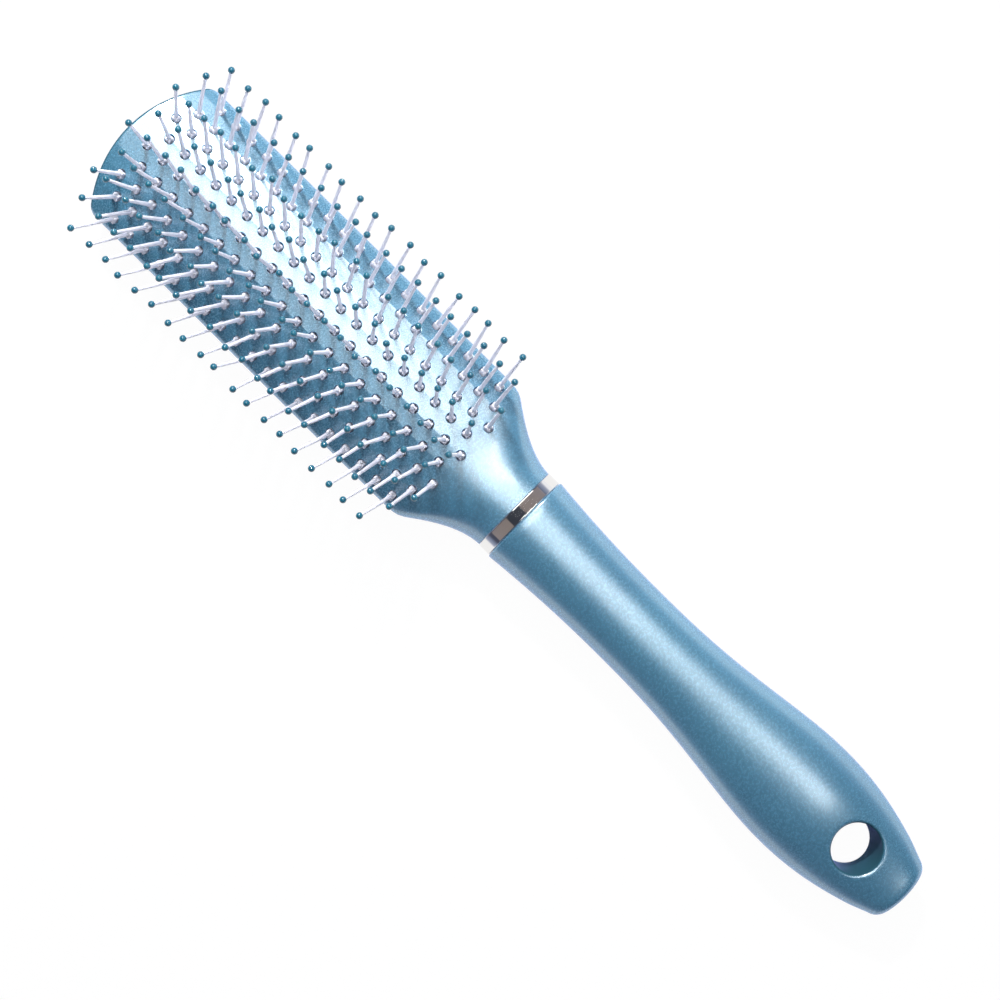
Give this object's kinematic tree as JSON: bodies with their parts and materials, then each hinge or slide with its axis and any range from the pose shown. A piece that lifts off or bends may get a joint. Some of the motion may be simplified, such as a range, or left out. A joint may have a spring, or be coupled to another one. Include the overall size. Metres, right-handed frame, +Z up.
{
  "type": "hair styling brush",
  "caption": "Hand-held hair styling brush with an arched head, fanned rows of ball-tipped pins, a bright neck ring and a waisted handle with a hanging hole.",
  "frame": {"origin": "middle of the footprint, on the surface that the brush lies on", "axes": "+X along the brush from the head to the handle's end, +Z up, the way the pins point"},
  "size_m": [0.247, 0.0518, 0.0344],
  "materials": {
    "pearl_paint": "pearlescent light blue paint, satin gloss",
    "pin_nylon": "white nylon",
    "ball_tip": "glossy teal resin drop",
    "bright_plate": "bright plated plastic"
  },
  "bodies": {
    "root": {"front_shell": "pearl_paint", "back_cover": "pearl_paint", "pin_strip_1": "pin_nylon", "pin_strip_2": "pin_nylon", "pin_strip_3": "pin_nylon", "pin_strip_4": "pin_nylon", "pin_strip_5": "pin_nylon", "pin_strip_6": "pin_nylon", "pin_strip_7": "pin_nylon", "pin_strip_8": "pin_nylon", "pin_strip_9": "pin_nylon", "tip_row_1": "ball_tip", "tip_row_2": "ball_tip", "tip_row_3": "ball_tip", "tip_row_4": "ball_tip", "tip_row_5": "ball_tip", "tip_row_6": "ball_tip", "tip_row_7": "ball_tip", "tip_row_8": "ball_tip", "tip_row_9": "ball_tip", "ferrule_ring": "bright_plate", "handle": "pearl_paint"}
  },
  "joints": []
}
